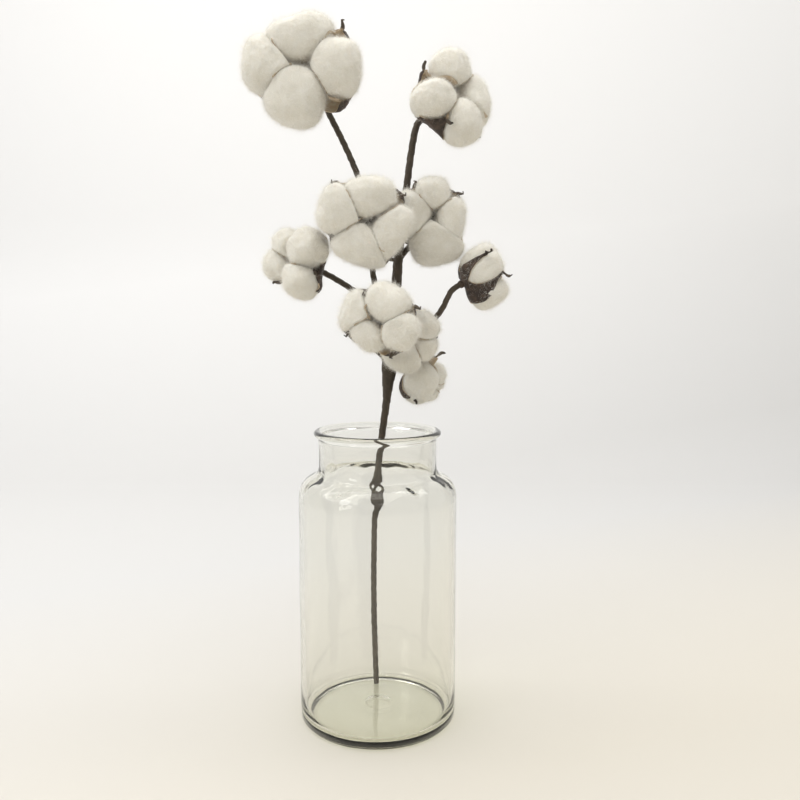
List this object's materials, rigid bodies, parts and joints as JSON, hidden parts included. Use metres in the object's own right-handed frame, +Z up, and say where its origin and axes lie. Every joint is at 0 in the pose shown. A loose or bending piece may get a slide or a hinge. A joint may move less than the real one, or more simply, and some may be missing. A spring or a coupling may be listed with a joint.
{
  "type": "cotton stem bunch",
  "caption": "Open cotton bolls on a branched, tape-wrapped stem that stands in a wide-mouthed glass jar.",
  "frame": {"origin": "middle of the jar's flat underside, on the table", "axes": "+Z up, -Y towards the front of the bunch, +X to its right seen from the front"},
  "size_m": [0.1794, 0.109, 0.4783],
  "materials": {
    "jar_glass": "clear pressed glass with a faint green tint, glossy",
    "stem_tape": "dark brown paper tape wound in a spiral over the wooden stem, dull with a slight wax sheen",
    "husk": "dried burr, dark brown and ribbed outside, beige and smooth inside, matte",
    "cotton_lint": "raw cotton fibre, warm white, soft and matte"
  },
  "bodies": {
    "root": {"glass_jar": "jar_glass", "left_branch": "stem_tape", "left_burr": "husk", "left_lock_1": "cotton_lint", "left_lock_2": "cotton_lint", "left_lock_3": "cotton_lint", "left_lock_4": "cotton_lint", "lower_back_branch": "stem_tape", "lower_back_burr": "husk", "lower_back_lock_1": "cotton_lint", "lower_back_lock_2": "cotton_lint", "lower_back_lock_3": "cotton_lint", "lower_back_lock_4": "cotton_lint", "lower_front_branch": "stem_tape", "lower_front_burr": "husk", "lower_front_lock_1": "cotton_lint", "lower_front_lock_2": "cotton_lint", "lower_front_lock_3": "cotton_lint", "lower_front_lock_4": "cotton_lint", "lower_right_branch": "stem_tape", "lower_right_burr": "husk", "lower_right_lock_1": "cotton_lint", "lower_right_lock_2": "cotton_lint", "lower_right_lock_3": "cotton_lint", "lower_right_lock_4": "cotton_lint", "main_stem": "stem_tape", "middle_left_branch": "stem_tape", "middle_left_burr": "husk", "middle_left_lock_1": "cotton_lint", "middle_left_lock_2": "cotton_lint", "middle_left_lock_3": "cotton_lint", "middle_left_lock_4": "cotton_lint", "middle_right_branch": "stem_tape", "middle_right_burr": "husk", "middle_right_lock_1": "cotton_lint", "middle_right_lock_2": "cotton_lint", "middle_right_lock_3": "cotton_lint", "middle_right_lock_4": "cotton_lint", "right_branch": "stem_tape", "right_burr": "husk", "right_lock_1": "cotton_lint", "right_lock_2": "cotton_lint", "right_lock_3": "cotton_lint", "right_lock_4": "cotton_lint", "top_left_branch": "stem_tape", "top_left_burr": "husk", "top_left_lock_1": "cotton_lint", "top_left_lock_2": "cotton_lint", "top_left_lock_3": "cotton_lint", "top_left_lock_4": "cotton_lint", "top_right_burr": "husk", "top_right_lock_1": "cotton_lint", "top_right_lock_2": "cotton_lint", "top_right_lock_3": "cotton_lint", "top_right_lock_4": "cotton_lint"}
  },
  "joints": []
}
